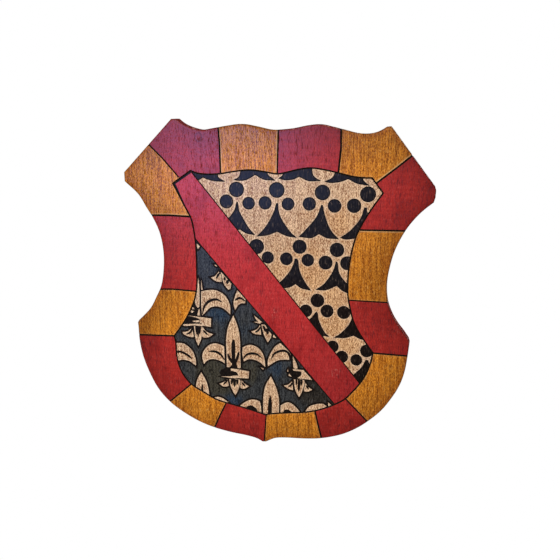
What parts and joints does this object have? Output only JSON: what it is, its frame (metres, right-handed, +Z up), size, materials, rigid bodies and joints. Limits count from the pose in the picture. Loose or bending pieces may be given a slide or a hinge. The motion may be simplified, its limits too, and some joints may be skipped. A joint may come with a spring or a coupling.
{
  "type": "heraldic shield",
  "caption": "Painted wooden wall shield of dowelled staves on back battens, with a compony border, ermine, fleurs-de-lis and a red bend, hung by a ring in a strap.",
  "frame": {"origin": "the inside of the hanger ring's top, where the wall hook bears, on the wall's plane", "axes": "+Z up along the shield's height, +Y out of the back towards the wall, -Y out of the painted face, +X to the viewer's right"},
  "size_m": [0.4755, 0.039, 0.5],
  "materials": {
    "painted_oak": "oak staves stained, painted in red, gold and blue-black, and varnished",
    "bare_oak": "planed oak, unvarnished",
    "beech": "fluted beech, unfinished",
    "brass": "turned brass, dulled",
    "steel": "zinc-plated steel",
    "felt": "pressed wool felt"
  },
  "bodies": {
    "shield": {"stave_1": "painted_oak", "stave_2": "painted_oak", "stave_3": "painted_oak", "stave_4": "painted_oak", "stave_5": "painted_oak", "dowel_1_upper": "beech", "dowel_1_middle": "beech", "dowel_1_lower": "beech", "dowel_2_upper": "beech", "dowel_2_middle": "beech", "dowel_2_lower": "beech", "dowel_3_upper": "beech", "dowel_3_middle": "beech", "dowel_3_lower": "beech", "dowel_4_upper": "beech", "dowel_4_middle": "beech", "dowel_4_lower": "beech", "upper_batten": "bare_oak", "lower_batten": "bare_oak", "upper_batten_screw_1": "brass", "upper_batten_screw_2": "brass", "upper_batten_screw_3": "brass", "upper_batten_screw_4": "brass", "upper_batten_screw_5": "brass", "lower_batten_screw_1": "brass", "lower_batten_screw_2": "brass", "lower_batten_screw_3": "brass", "lower_batten_screw_4": "brass", "lower_batten_screw_5": "brass", "hanger_strap": "steel", "hanger_screw_upper": "steel", "hanger_screw_lower": "steel", "felt_pad_upper_left": "felt", "felt_pad_upper_right": "felt", "felt_pad_lower_left": "felt", "felt_pad_lower_right": "felt"},
    "ring": {"hanger_ring": "steel"}
  },
  "joints": [
    {"name": "ring_swing", "type": "hinge", "parent": "shield", "child": "ring", "pos_m": [0, -0.0182, -0.0225], "axis": [-1, 0, 0], "range_deg": [-2, 175]}
  ]
}
